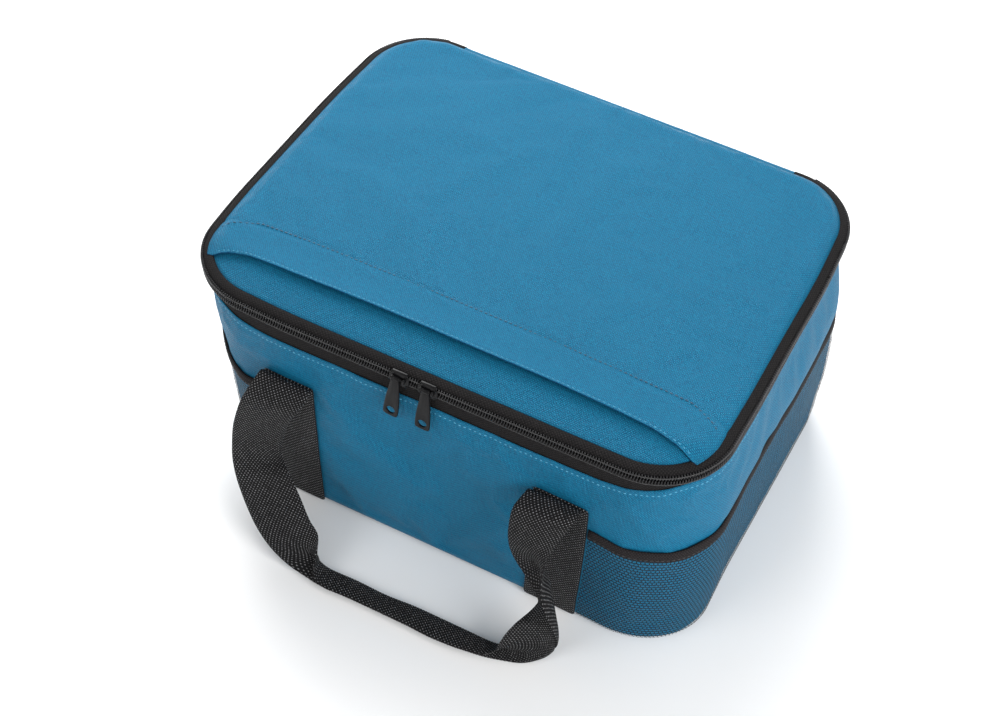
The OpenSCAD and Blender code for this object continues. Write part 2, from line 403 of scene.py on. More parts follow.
def rounded_sheet(line, columns, rows, height=0.0):
    """A sheet of even quads whose rows follow a rounded rectangle."""
    bm = bmesh.new()
    bmesh.ops.create_grid(bm, x_segments=columns, y_segments=rows, size=1.0)
    for v in bm.verts:
        u, w = v.co.x, v.co.y
        inset = min(line.half_w * (1 - abs(u)), line.half_d * (1 - abs(w)))
        hx, hy = line.half_w - inset, line.half_d - inset
        r = max(line.radius - inset, 0.0)
        px, py = abs(u) * line.half_w, abs(w) * line.half_d
        gx, gy = hx - min(px, hx), hy - min(py, hy)
        half_arc = min(r * math.pi / 4, hx * 0.5, hy * 0.5)
        if gx + gy < half_arc and r > 1e-9:
            turn = (gx + gy) / half_arc * math.pi / 4
            turn = math.pi / 4 + turn if gx > gy else math.pi / 4 - turn
            px, py = hx - r + r * math.cos(turn), hy - r + r * math.sin(turn)
        elif gx > gy:
            px, py = px * (hx - r) / max(hx - half_arc, 1e-9), hy
        else:
            px, py = hx, py * (hy - r) / max(hy - half_arc, 1e-9)
        v.co = Vector((math.copysign(px, u), math.copysign(py, w), height))
    layer = bm.loops.layers.uv.new("UVMap")
    for f in bm.faces:
        for loop in f.loops:
            loop[layer].uv = (loop.vert.co.x, loop.vert.co.y)
    if bm.faces[:][0].normal.z < 0:
        bmesh.ops.reverse_faces(bm, faces=bm.faces[:])
    return bm


def pattern(template, places):
    """One mesh with a copy of a small shape at each place."""
    bm = bmesh.new()
    seed = bpy.data.meshes.new("seed")
    template.to_mesh(seed)
    template.free()
    count = len(seed.vertices)
    for place in places:
        bm.from_mesh(seed)
        bm.verts.ensure_lookup_table()
        bmesh.ops.transform(bm, matrix=place, verts=bm.verts[-count:])
    bpy.data.meshes.remove(seed)
    return bm


def stand(place, along, out):
    """A frame at a place: X runs along, Z points out, Y is across."""
    along = Vector(along).normalized()
    out = (Vector(out) - along * along.dot(Vector(out))).normalized()
    over = out.cross(along)
    return Matrix.Translation(place) @ Matrix((along, over, out)).transposed().to_4x4()


def run_of(low, high, pitch, spot, out_at, raised=0.0, keep=lambda at: True):
    """Frames in the middles of even steps from low to high, along the line that spot() walks."""
    middles = [low + (k + 0.5) * pitch for k in range(int((high - low) / pitch))]
    return [stand(spot(at) + out_at(at) * raised, spot(at + MM) - spot(at - MM), out_at(at))
            for at in middles if keep(at)]


def rail(s, inset, height):
    """A place on the settled bag, with the way along it and the way out."""
    def spot(at):
        place, out = wall.at(at)
        return settle(Vector((place.x - out.x * inset, place.y - out.y * inset, height)))
    place, out = wall.at(s)
    return spot(s), spot(s + MM) - spot(s - MM), out


# ---- finishes ----
def node_group(name, inputs, outputs):
    tree = bpy.data.node_groups.new(name, "ShaderNodeTree")
    for label, kind, value in inputs:
        socket = tree.interface.new_socket(name=label, in_out="INPUT", socket_type=kind)
        if value is not None:
            socket.default_value = value
    for label, kind in outputs:
        tree.interface.new_socket(name=label, in_out="OUTPUT", socket_type=kind)
    return tree, tree.nodes.new("NodeGroupInput"), tree.nodes.new("NodeGroupOutput")


def maths(tree, kind, a, b=None, c=None):
    made = tree.nodes.new("ShaderNodeMath")
    made.operation = kind
    for index, value in enumerate((a, b, c)):
        if value is None:
            continue
        if isinstance(value, (int, float)):
            made.inputs[index].default_value = value
        else:
            tree.links.new(value, made.inputs[index])
    return made.outputs[0]


FLOAT, COLOUR, VECTOR = "NodeSocketFloat", "NodeSocketColor", "NodeSocketVector"


def make_weave():
    """Over-and-under threads: a height, and a mask of the thread that lies on top."""
    tree, given, out = node_group(
        "plain_weave",
        [("Place", VECTOR, None), ("Across", FLOAT, 800.0), ("Along", FLOAT, 800.0),
         ("Wobble", FLOAT, 0.1)],
        [("Height", FLOAT), ("Crown", FLOAT)])
    shake = tree.nodes.new("ShaderNodeTexNoise")
    shake.inputs["Scale"].default_value = 160.0
    shake.inputs["Detail"].default_value = 2.0
    tree.links.new(given.outputs["Place"], shake.inputs["Vector"])
    split = tree.nodes.new("ShaderNodeSeparateXYZ")
    tree.links.new(given.outputs["Place"], split.inputs[0])
    moved = maths(tree, "MULTIPLY", maths(tree, "SUBTRACT", shake.outputs["Fac"], 0.5),
                  given.outputs["Wobble"])
    u = maths(tree, "MULTIPLY_ADD", split.outputs["X"], given.outputs["Across"], moved)
    v = maths(tree, "MULTIPLY_ADD", split.outputs["Y"], given.outputs["Along"], moved)
    su = maths(tree, "SINE", maths(tree, "MULTIPLY", u, math.pi))
    sv = maths(tree, "SINE", maths(tree, "MULTIPLY", v, math.pi))
    both = maths(tree, "MULTIPLY", su, sv)
    warp = maths(tree, "GREATER_THAN", both, 0.0)
    dome = maths(tree, "POWER", maths(tree, "ABSOLUTE", both), 0.6)
    crown = maths(tree, "MULTIPLY", dome, warp)
    height = maths(tree, "MULTIPLY_ADD", crown, 0.45, maths(tree, "MULTIPLY", dome, 0.55))
    tree.links.new(height, out.inputs["Height"])
    tree.links.new(crown, out.inputs["Crown"])
    return tree


def make_mottle():
    """Slow patches and fine grain, both round 0.5, for uneven dye and wear."""
    tree, given, out = node_group(
        "mottle",
        [("Place", VECTOR, None), ("Patch", FLOAT, 14.0), ("Grain", FLOAT, 700.0)],
        [("Patches", FLOAT), ("Grain", FLOAT)])
    for label, detail, rough in (("Patch", 3.0, 0.55), ("Grain", 2.0, 0.6)):
        cloud = tree.nodes.new("ShaderNodeTexNoise")
        cloud.inputs["Detail"].default_value = detail
        cloud.inputs["Roughness"].default_value = rough
        tree.links.new(given.outputs["Place"], cloud.inputs["Vector"])
        tree.links.new(given.outputs[label], cloud.inputs["Scale"])
        tree.links.new(cloud.outputs["Fac"], out.inputs["Patches" if label == "Patch" else label])
    return tree


WEAVE = make_weave()
MOTTLE = make_mottle()


class Look:
    """A material with its shader, and short ways to add nodes to it."""

    def __init__(self, name, **settings):
        self.made = bpy.data.materials.new(name)
        self.made.use_nodes = True
        self.tree = self.made.node_tree
        self.shader = self.tree.nodes["Principled BSDF"]
        for label, value in settings.items():
            self.shader.inputs[label.replace("_", " ")].default_value = value
        self.coords = self.tree.nodes.new("ShaderNodeTexCoord")

    def group(self, tree, place, **values):
        node = self.tree.nodes.new("ShaderNodeGroup")
        node.node_tree = tree
        self.tree.links.new(place, node.inputs["Place"])
        for label, value in values.items():
            node.inputs[label].default_value = value
        return node

    def weave(self, across, along, wobble):
        return self.group(WEAVE, self.coords.outputs["UV"], Across=across, Along=along, Wobble=wobble)

    def mottle(self, patch, grain):
        return self.group(MOTTLE, self.coords.outputs["Object"], Patch=patch, Grain=grain)

    def ramp(self, fac, *stops):
        node = self.tree.nodes.new("ShaderNodeValToRGB")
        while len(node.color_ramp.elements) < len(stops):
            node.color_ramp.elements.new(0.5)
        for element, (at, colour) in zip(node.color_ramp.elements, stops):
            element.position = at
            element.color = (*colour, 1)
        self.tree.links.new(fac, node.inputs["Fac"])
        return node.outputs["Color"]

    def blend(self, fac, colour, other):
        """From a colour output towards a fixed colour."""
        node = self.tree.nodes.new("ShaderNodeMix")
        node.data_type, node.blend_type = "RGBA", "MIX"
        self.tree.links.new(fac, node.inputs[0])
        self.tree.links.new(colour, node.inputs[6])
        node.inputs[7].default_value = (*other, 1)
        return node.outputs[2]

    def maths(self, kind, a, b=None, c=None):
        return maths(self.tree, kind, a, b, c)

    def span(self, value, low, high):
        node = self.tree.nodes.new("ShaderNodeMapRange")
        self.tree.links.new(value, node.inputs["Value"])
        node.inputs["To Min"].default_value = low
        node.inputs["To Max"].default_value = high
        return node.outputs["Result"]

    def feed(self, label, value):
        self.tree.links.new(value, self.shader.inputs[label])

    def bump(self, height, distance, strength=1.0):
        node = self.tree.nodes.new("ShaderNodeBump")
        node.inputs["Distance"].default_value = distance
        node.inputs["Strength"].default_value = strength
        self.tree.links.new(height, node.inputs["Height"])
        self.feed("Normal", node.outputs["Normal"])


def blue_cloth(name, shade=(0.0002, 0.045, 0.126), crown=(0.005, 0.258, 0.440)):
    look = Look(name, Roughness=0.55, Specular_IOR_Level=0.19)
    weave = look.weave(1180.0, 1000.0, 0.4)
    mottle = look.mottle(13.0, 900.0)
    # The weave's height lightens the raised threads and darkens the gaps between them: painted highlight
    # and painted shade on the threads. The grain is the yarn's own uneven colour.
    fac = look.maths("MULTIPLY_ADD", mottle.outputs["Grain"], 0.6,
                     look.maths("MULTIPLY", weave.outputs["Height"], 0.65))
    colour = look.ramp(fac, (0.32, shade), (0.88, crown))
    patched = look.blend(look.span(mottle.outputs["Patches"], 0.0, 0.25), colour,
                         (0.0006, 0.095, 0.20))
    look.feed("Base Color", patched)
    look.feed("Roughness", look.span(mottle.outputs["Grain"], 0.42, 0.60))
    look.bump(look.maths("MULTIPLY_ADD", mottle.outputs["Grain"], 0.35,
                         weave.outputs["Height"]), 0.0005, 1.0)
    return look.made


def webbing_look():
    look = Look("black_webbing", Roughness=0.42, Specular_IOR_Level=0.22)
    weave = look.weave(1 / (1.25 * MM), 1 / (1.35 * MM), 0.12)
    mottle = look.mottle(30.0, 1400.0)
    crown = look.maths("MULTIPLY", weave.outputs["Crown"],
                       look.span(mottle.outputs["Grain"], 0.45, 1.35))
    # The raised thread crowns are painted light grey on the black webbing: a painted highlight on each
    # crown.
    look.feed("Base Color", look.ramp(crown, (0.3, (0.0015, 0.0015, 0.002)),
                                      (0.66, (0.006, 0.006, 0.007)), (1.0, (0.34, 0.34, 0.35))))
    look.feed("Roughness", look.span(weave.outputs["Crown"], 0.75, 0.30))
    look.bump(weave.outputs["Height"], 0.0006, 1.0)
    return look.made


def tape_look(name, dark, light, across=900.0, along=900.0):
    look = Look(name, Roughness=0.85, Specular_IOR_Level=0.12)
    weave = look.weave(across, along, 0.5)
    mottle = look.mottle(40.0, 1500.0)
    fac = look.maths("MULTIPLY_ADD", weave.outputs["Crown"], 0.45, mottle.outputs["Grain"])
    look.feed("Base Color", look.ramp(fac, (0.4, dark), (0.95, light)))
    look.bump(look.maths("ADD", weave.outputs["Height"], mottle.outputs["Grain"]), 0.0003, 0.8)
    return look.made


def plain_look(name, mottle, dark, light, bump, rough=None, bumpy="Grain", **settings):
    """A finish mottled between two shades. A shade is its place on the ramp and its colour."""
    look = Look(name, **settings)
    mottle = look.mottle(*mottle)
    look.feed("Base Color", look.ramp(mottle.outputs["Grain"], dark, light))
    if rough:
        look.feed("Roughness", look.span(mottle.outputs["Patches"], *rough))
    look.bump(mottle.outputs[bumpy], *bump)
    return look.made


def thread_look(name, dark, light):
    return plain_look(name, (60.0, 3000.0), (0.3, dark), (0.75, light), (0.0001, 0.6),
                      Roughness=0.55, Sheen_Weight=0.2)


def foil_look():
    look = Look("foil_lining", Roughness=0.32, Metallic=0.85)
    look.shader.inputs["Base Color"].default_value = (0.72, 0.74, 0.76, 1)
    mottle = look.mottle(26.0, 260.0)
    look.feed("Base Color", look.ramp(mottle.outputs["Patches"], (0.3, (0.60, 0.62, 0.64)),
                                      (0.7, (0.80, 0.82, 0.84))))
    look.feed("Roughness", look.span(mottle.outputs["Grain"], 0.24, 0.46))
    look.bump(look.maths("MULTIPLY_ADD", mottle.outputs["Patches"], 2.0,
                         mottle.outputs["Grain"]), 0.0008, 0.6)
    return look.made


def mesh_look():
    """An open net of black thread: staggered oval holes that the cloth behind shows through."""
    look = Look("pocket_mesh", Roughness=0.6, Specular_IOR_Level=0.12)
    split = look.tree.nodes.new("ShaderNodeSeparateXYZ")
    look.tree.links.new(look.coords.outputs["UV"], split.inputs[0])
    row = look.maths("MULTIPLY", split.outputs["Y"], 1 / (2.8 * MM))
    level = look.maths("FLOOR", row)
    odd = look.maths("FRACT", look.maths("MULTIPLY", level, 0.5))
    column = look.maths("MULTIPLY_ADD", split.outputs["X"], 1 / (2.5 * MM), odd)
    fu = look.maths("SUBTRACT", look.maths("FRACT", column), 0.5)
    fv = look.maths("SUBTRACT", look.maths("FRACT", row), 0.5)

    def share(value, half):
        """How far towards the hole's rim, raised so that the hole is a rounded oval."""
        return look.maths("POWER", look.maths("ABSOLUTE", look.maths("DIVIDE", value, half)), 2.4)
    far = look.maths("ADD", share(fu, 0.415), share(fv, 0.385))
    thread = look.maths("GREATER_THAN", far, 1.0)
    mottle = look.mottle(30.0, 1500.0)
    look.feed("Base Color", look.ramp(mottle.outputs["Grain"], (0.35, (0.002, 0.002, 0.003)),
                                      (0.75, (0.028, 0.028, 0.032))))
    ray = look.tree.nodes.new("ShaderNodeLightPath")
    unseen = look.maths("MAXIMUM", ray.outputs["Is Shadow Ray"], ray.outputs["Is Diffuse Ray"])
    thin = look.maths("MULTIPLY_ADD", unseen, -0.9, 1.0)
    look.feed("Alpha", look.maths("MULTIPLY", thread, thin))
    look.bump(look.maths("MINIMUM", far, 2.5), 0.0003, 0.7)
    return look.made


BLUE = blue_cloth("blue_polyester")
WEBBING = webbing_look()
TAPE = tape_look("zip_tape", (0.0035, 0.0035, 0.004), (0.022, 0.020, 0.020))
BINDING = tape_look("bound_edge", (0.006, 0.005, 0.0055), (0.030, 0.026, 0.027), 1100.0, 700.0)
COIL = plain_look("nylon_coil", (60.0, 2500.0), (0.3, (0.004, 0.004, 0.005)), (0.8, (0.02, 0.02, 0.022)),
                  (0.00005, 0.5), (0.18, 0.36), Roughness=0.3, Specular_IOR_Level=0.3)
ENAMEL = plain_look("black_enamel", (90.0, 1800.0), (0.3, (0.0025, 0.0025, 0.003)),
                    (0.8, (0.006, 0.006, 0.007)), (0.00012, 0.4), (0.22, 0.42), "Patches",
                    Roughness=0.3, Specular_IOR_Level=0.16)
FOIL = foil_look()
FOAM = plain_look("white_foam", (30.0, 900.0), (0.3, (0.62, 0.62, 0.60)), (0.7, (0.80, 0.80, 0.78)),
                  (0.0004, 0.6), Roughness=0.9, Specular_IOR_Level=0.2)
NET = mesh_look()
BLUE_THREAD = thread_look("blue_thread", (0.02, 0.22, 0.38), (0.10, 0.42, 0.62))
# Real stitches, coloured dark to paint the shade round the puckered stitch line.
PUCKER_SHADE_THREAD = thread_look("blue_thread_painted_pucker_shade", (0.002, 0.032, 0.068), (0.008, 0.10, 0.19))
BLACK_THREAD = thread_look("black_thread", (0.010, 0.010, 0.011), (0.045, 0.044, 0.045))

# ---- camera ----
AZIMUTH, ELEVATION, ROLL = math.radians(23.8), math.radians(47.5), math.radians(4.9)
CAMERA_AT = Vector((0.3671, -0.8683, 1.0851))
back = Vector((math.sin(AZIMUTH) * math.cos(ELEVATION), -math.cos(AZIMUTH) * math.cos(ELEVATION),
               math.sin(ELEVATION)))
right = Vector((math.cos(AZIMUTH), math.sin(AZIMUTH), 0))
up = back.cross(right)
turned = right * math.cos(ROLL) + up * math.sin(ROLL)
raised = up * math.cos(ROLL) - right * math.sin(ROLL)
eye = bpy.data.cameras.new("camera")
eye.lens, eye.sensor_width, eye.clip_start, eye.clip_end = 72.06, 36.0, 0.05, 30.0
camera = bpy.data.objects.new("camera", eye)
bpy.context.scene.collection.objects.link(camera)
camera.matrix_world = (Matrix.Translation(CAMERA_AT)
                       @ Matrix((turned, raised, back)).transposed().to_4x4())
bpy.context.scene.camera = camera


# ---- body: cloth, padding, lining ----
def wall_profile(inset, low, high, step=5 * MM):
    count = max(2, round((high - low) / step))
    return [(inset, mix(low, high, k / count)) for k in range(count + 1)]


POCKET_END = wall.find(POCKET_X, -HALF_D)[0] + 0.3 * MM
POCKET_SPAN = HALF_ROUND - 2 * POCKET_END
NET_TOP = 106 * MM
FOOT = [(6 * MM, 0.3 * MM), (3.2 * MM, 0.8 * MM), (1.3 * MM, 2.2 * MM), (0.4 * MM, 4.6 * MM)]


def wall_lift(co):
    """The wall's upper edge: low along the front, and close under the teeth at the sides."""
    s, inset = wall.find(co[0], co[1])
    side = abs(s)
    lift = mix(-3.4, 8.2, smooth((side - 0.112) / 0.075)) * MM
    if side > HALF_ROUND - 0.16:
        lift = mix(lift, 1.5 * MM, smooth((side - HALF_ROUND + 0.16) / 0.03))
    lift += 0.5 * MM * wander((s, 0, 0), 0.040, 6.6)
    return Vector((co[0], co[1], co[2] + lift * smooth((co[2] - 0.10) / (WALL_TOP - 0.10))))


def wall_shape(co):
    """Settles the wall, with the small puckers that its upper seam draws in it."""
    s, inset = wall.find(co[0], co[1])
    out = wall.at(s)[1]
    under = (WALL_TOP - co[2]) / MM
    pucker = math.exp(-((under - 5) / 9) ** 2) * (0.9 * wander((s, 0, 0), 0.0075, 1.3)
                                                  + 0.9 * wander((s, co[2] * 0.3, 0), 0.019, 3.8))
    seam = -0.5 * math.exp(-((under - 4.2) / 1.3) ** 2)
    edge = mix(1, 0.3, smooth((under - 1) / -1))
    return settle(wall_lift(co)) + out * (max(pucker * edge, -0.5) + seam) * MM


# how far in from a seam the wall's cloth is held flat
SEAM = 7 * MM


def cloth_wall(name, start, stop, body_node):
    profile = FOOT + wall_profile(0.0, 8 * MM, WALL_TOP - 2 * MM, 3.5 * MM) + [
        (0.15 * MM, WALL_TOP - 0.5 * MM), (0.7 * MM, WALL_TOP - 0.1 * MM)]
    bm = sew(profile, start, stop, step=3 * MM)
    held, room = [], []
    for k, v in enumerate(bm.verts):
        s, inset = wall.find(v.co.x, v.co.y)
        from_middle = min(abs(s), HALF_ROUND - abs(s))
        under_strap = abs(from_middle - STRAP_X) < 23 * MM and v.co.z < STRAP_HIGH.z + 4 * MM
        if v.co.z < SEAM or v.co.z > WALL_TOP - SEAM or under_strap:
            held.append(k)
        ends = smooth(min(s - start, stop - s) / (20 * MM)) if body_node == "wall_panel" else 1
        covered = abs(s) > POCKET_END - 3 * MM and v.co.z < NET_TOP + 6 * MM
        room.append((0.35 * MM, (0.3 if covered else 2.2) * MM * ends))
    cloth = puff(piece(name, bend_all(bm, wall_shape), BLUE), held, room, 0.008, 0.3)
    thicken(cloth, 0.8 * MM)
    fit(cloth, "bag", "outer_cloth", body_node)


cloth_wall("wall_cloth", -ZIP_END, ZIP_END, "wall_panel")
cloth_wall("rear_cloth", ZIP_END, 2 * HALF_ROUND - ZIP_END, "rear_panel")

base = inner_outline(5 * MM)
base_cloth = thicken(piece("base_cloth", bend_all(
    rounded_sheet(base, 30, 24, 1.3 * MM), settle), BLUE), 0.8 * MM)
fit(base_cloth, "bag", "outer_cloth", "base_panel")


def slab(line, low, high, columns=36, rows=30, edge=2 * MM):
    """A flat pad with rounded edges."""
    bm = rounded_sheet(line, columns, rows, high)
    made = bmesh.ops.extrude_face_region(bm, geom=bm.faces[:])
    sheet = [g for g in made["geom"] if isinstance(g, bmesh.types.BMFace)]
    bmesh.ops.translate(bm, verts=list({v for f in sheet for v in f.verts}), vec=(0, 0, low - high))
    bmesh.ops.recalc_face_normals(bm, faces=bm.faces[:])
    rounded(bm, sharp_edges(bm, 0.8), edge, 3)
    return bm


def padding_wall(name, start, stop, node):
    outer, inner = 1.4 * MM, LINING_IN - 0.2 * MM
    low, high = 2.5 * MM, MOUTH_HIGH - 3 * MM
    steps = 24
    outside = [(outer, mix(low, high, k / steps)) for k in range(steps + 1)]
    inside = [(inner, mix(high, low, k / steps)) for k in range(steps + 1)]
    bm = bend_all(sew(outside + inside, start, stop, closed=True), settle)
    pad = piece(name, bm, FOAM)
    fit(pad, "bag", "foam", node)


padding_wall("wall_padding", -ZIP_END + MM, ZIP_END - MM, "wall_foam")
padding_wall("rear_padding", ZIP_END, 2 * HALF_ROUND - ZIP_END, "rear_foam")
base_pad = piece("base_padding", bend_all(slab(
    inner_outline(7 * MM), 1.5 * MM, FLOOR_Z - 0.4 * MM),
    settle), FOAM)
fit(base_pad, "bag", "foam", "base_foam")


def crumple(co):
    """The lining's small creases, which only go towards the inside."""
    depth = 0.7 * MM
    placed = settle(co)
    s, inset = wall.find(co[0], co[1])
    out = wall.at(s)[1]
    dent = abs(wander((s, co[2], inset), 0.022, 5.5)) + abs(wander((s, co[2], inset), 0.009, 2.5)) * 0.5
    if inset > 16 * MM:
        return placed + Vector((0, 0, dent * depth))
    return placed - out * dent * depth


upright = wall_profile(LINING_IN + 0.5 * MM, 18 * MM, MOUTH_HIGH - 8 * MM, 4 * MM)
lining_profile = [(LINING_IN + 0.5 * MM, MOUTH_HIGH - 3 * MM)] + upright[::-1] + [
    (LINING_IN + 1.2 * MM, 13 * MM), (LINING_IN + 3.4 * MM, 9.4 * MM),
    (LINING_IN + 7 * MM, FLOOR_Z + 1.2 * MM), (LINING_IN + 12 * MM, FLOOR_Z + 0.6 * MM)]
lining_bm = sew(lining_profile, -HALF_ROUND, HALF_ROUND, step=4 * MM)
bmesh.ops.reverse_faces(lining_bm, faces=lining_bm.faces[:])
floor_bm = rounded_sheet(inner_outline(LINING_IN + 11.5 * MM), 70, 56, FLOOR_Z + 0.6 * MM)
floor_mesh = bpy.data.meshes.new("lining_floor")
floor_bm.to_mesh(floor_mesh)
floor_bm.free()
lining_bm.from_mesh(floor_mesh)
lining = thicken(piece("foil_lining", bend_all(lining_bm, crumple), FOIL), 0.3 * MM)
fit(lining, "bag", "foil_lining", "lining_tub")

# ---- bindings inside the mouth and round the lid ----
mouth = [(1.9, 160.5), (1.7, 164), (2.2, 167.2), (4.2, 168.3), (6.6, 168.0), (7.7, 166.4), (7.9, 161),
         (7.8, 158.4), (6.6, 158.2), (6.2, 163), (5.9, 165.6), (4.4, 166.4), (3.3, 165.4), (2.9, 160.5)]
fit(piece("mouth_edge", ribbon(mouth, -HALF_ROUND, HALF_ROUND, closed=True), BINDING),
    "bag", "binding_tape", "mouth_binding")

lid_in = LID_PAD_IN / MM
lid_edge = [(-1.0, 177.2), (-1.2, 174), (-1.0, 171.6), (0.2, 170.9), (4.5, 171.2), (5.4, 171.7),
            (4.6, 172.1), (0.6, 172.2), (0.2, 173.0), (0.1, 177.2)]
lid_edge = [(lid_in + i, h) for i, h in lid_edge]
fit(piece("lid_edge_binding", ribbon(lid_edge, -HALF_ROUND, HALF_ROUND, closed=True), BINDING),
    "lid", "binding_tape", "lid_binding")

# ---- zip: tapes and teeth ----
low_tape = [(1.3, 150.2), (1.3, 155), (1.2, 160), (1.1, 163), (1.0, 166.5), (0.8, 169.5), (0.5, 171.5),
            (0.6, 173.6)]
bag_tape = thicken(piece("lower_zip_tape", ribbon(low_tape, -ZIP_END, ZIP_END), TAPE), 0.7 * MM)
fit(bag_tape, "bag", "zip_tape", "body_zip_tape")

high_tape = [(0.7, 174.4), (0.3, 175.8), (0.1, 176.9), (0.3, 177.9), (1.0, 178.8), (2.2, 179.5),
             (3.8, 180.1), (5.5, 180.3), (6.5, 180.0), (7.0, 179.0)]
lid_tape = thicken(piece("upper_zip_tape", ribbon(high_tape, -ZIP_END, ZIP_END, step=4 * MM), TAPE),
                   0.7 * MM)
fit(lid_tape, "lid", "zip_tape", "lid_zip_tape")

TOOTH_PITCH = 1.8 * MM
TEETH_END = ZIP_END - 15 * MM
TEETH = int(2 * TEETH_END / TOOTH_PITCH)


def tooth_shape(length, width, rise):
    """One turn of the coil: a bar with rounded sides, highest in its middle."""
    bm = bmesh.new()
    bmesh.ops.create_cube(bm, size=1.0)
    bmesh.ops.scale(bm, vec=(width, length, rise), verts=bm.verts[:])
    long_edges = [e for e in bm.edges if abs(e.verts[0].co.y - e.verts[1].co.y) > 1e-6]
    bmesh.ops.subdivide_edges(bm, edges=long_edges, cuts=2)
    for v in bm.verts:
        t = abs(v.co.y) / (length / 2)
        v.co.z += rise * 0.45 * (1 - t * t) if v.co.z > 0 else 0
        v.co.x = v.co.x * (0.6 if v.co.z > 0 else 1.0) + 0.16 * v.co.y
    return bm


def teeth_row(name, height, shift, body, node):
    places = []
    for k in range(TEETH):
        s = -TEETH_END + (k + shift) * TOOTH_PITCH
        place, along, out = rail(s, -0.55 * MM, height)
        places.append(stand(place, along, out))
    row = piece(name, pattern(tooth_shape(3.7 * MM, 1.0 * MM, 1.3 * MM), places), COIL)
    fit(row, body, "zip_teeth", node)


teeth_row("lower_teeth", COIL_LOW + 1.75 * MM, 0.25, "bag", "body_zip_coil")
teeth_row("upper_teeth", LID_COIL_TOP - 1.75 * MM, 0.75, "lid", "lid_zip_coil")


COIL_THREAD_R = 0.28 * MM
for name, height, body in (("lower_coil_thread", COIL_LOW + 0.9 * MM, "bag"),
                           ("upper_coil_thread", LID_COIL_TOP - 0.9 * MM, "lid")):
    ring = [(-1.55 * MM + COIL_THREAD_R * math.cos(a), height + COIL_THREAD_R * math.sin(a))
            for a in (0.5, 1.76, 3.01, 4.27, 5.53)]
    bm = bend_all(sew(ring, -TEETH_END, TEETH_END, closed=True, step=3 * MM), settle)
    fit(piece(name, bm, BLACK_THREAD), body, "zip_teeth")

# ---- hinge strip: one cloth from the rear wall to the lid ----
hinge = [(1.6, 150), (1.2, 155), (-0.3, 157.5), (-1.0, 160), (-0.9, 164), (-0.6, 168), (-0.5, 171),
         (-0.5, 172), (-0.4, 173), (-0.3, 174), (-0.2, 175), (0.1, 176.2), (0.7, 177.8), (2.0, 179.2),
         (3.8, 180.0), (5.7, 180.3), (6.8, 179.9), (7.2, 179.0)]
hinge_bm = ribbon(hinge, ZIP_END - 2 * MM, 2 * HALF_ROUND - ZIP_END + 2 * MM)
hinge_cloth = thicken_now(piece("hinge_cloth", hinge_bm, BLUE), 0.8 * MM, -1.0)
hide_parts("hinge_strip", "lid_hinge_edge")
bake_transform(hinge_cloth)

# ---- lid: cloth, slot panel, pad and lining ----
LID_IN = LID_TAPE_IN - 2.2 * MM
lid_line = inner_outline(LID_IN)


def lid_rise(x, y):
    """How high the padded lid stands above its sewn edge."""
    d = max(lid_line.find(x, y)[1], 0.0)
    front = smooth((-0.095 - y) / 0.03) * smooth((0.172 - abs(x)) / 0.035)
    shoulder = mix(9 * MM, 30 * MM, front)
    rise = mix(4.2, 8.6, front) * math.sin(math.pi / 2 * clamp(d / shoulder))
    seam = math.exp(-d / (5 * MM))
    s = lid_line.find(x, y)[0]
    rise += 0.9 * d / MM / 6 * seam * wander((s, 0, 0), 0.012, 2.9) * 2.2
    crown = (1 - (abs(x) / lid_line.half_w) ** 2.6) * (1 - (abs(y) / lid_line.half_d) ** 3.2)
    rise += 4.2 * crown
    rise += 0.55 * math.exp(-((d / MM - 10) / 4.0) ** 2) * (1 - front)
    rise += 0.75 * wander((x, y, 0), 0.070, 4.4) * smooth(d / 0.03)
    rise += 0.28 * wander((x, y, 0), 0.026, 9.1) * smooth(d / 0.02)
    return rise * MM


LID_EDGE_Z = LID_CLOTH_Z + 0.3 * MM


def lid_surface(co):
    settled = settle(Vector((co[0], co[1], ZIP_Z)))
    return Vector((settled.x, settled.y, LID_EDGE_Z + lid_rise(co[0], co[1])))


lid_bm = bend_all(rounded_sheet(lid_line, 112, 90), lid_surface)
lid_cloth = thicken(piece("lid_cloth", lid_bm, BLUE), 0.8 * MM)
fit(lid_cloth, "lid", "outer_cloth", "lid_panel")

HEM_BAND = 31 * MM


def hem_line(x):
    return HEM_Y - 5 * MM * (abs(x) / 0.165) ** 5


def slot_surface(co):
    """The slot panel lies on the lid, and stands up a little at its hem."""
    x, y = co[0], co[1]
    near = clamp(1 - (y - HEM_Y) / (60 * MM))
    y += (hem_line(x) - HEM_Y) * near
    place = lid_surface((x, y, 0))
    from_hem = y - hem_line(x)
    ends = 1 - (abs(x) / 0.170) ** 4
    lift = 1.0 + 2.6 * math.exp(-from_hem / (9 * MM)) * clamp(ends)
    lift += 0.5 * smooth((HEM_BAND + 0.5 * MM - from_hem) / (2 * MM))
    lift -= 0.9 * math.exp(-((from_hem - HEM_BAND - 2.4 * MM) / (1.8 * MM)) ** 2)
    lift -= 0.4 * math.exp(-((from_hem - 1.8 * MM) / (0.8 * MM)) ** 2)
    side = max(lid_line.find(x, y)[1], 0)
    lift *= mix(0.35, 1.0, smooth(side / (6 * MM)))
    return place + Vector((0, 0, lift * MM))


slot_bm = rounded_sheet(lid_line, 120, 150)
bmesh.ops.bisect_plane(slot_bm, geom=slot_bm.verts[:] + slot_bm.edges[:] + slot_bm.faces[:],
                       plane_co=(0, HEM_Y, 0), plane_no=(0, -1, 0), clear_outer=True)
slot_held, slot_room = [], []
for index, v in enumerate(slot_bm.verts):
    from_edge = lid_line.find(v.co.x, v.co.y)[1]
    from_band = v.co.y - HEM_Y - HEM_BAND - 3 * MM
    if from_edge < 3.5 * MM or from_band < 0:
        slot_held.append(index)
    slot_room.append((0.4 * MM, 2.6 * MM))
slot_panel = puff(piece("lid_slot_cloth", bend_all(slot_bm, slot_surface), BLUE), slot_held, slot_room,
                  0.004, 0.25)
thicken(slot_panel, 0.9 * MM, 1.0)
fit(slot_panel, "lid", "outer_cloth", "lid_slot_panel")

pad_line = inner_outline(LID_PAD_IN + MM)


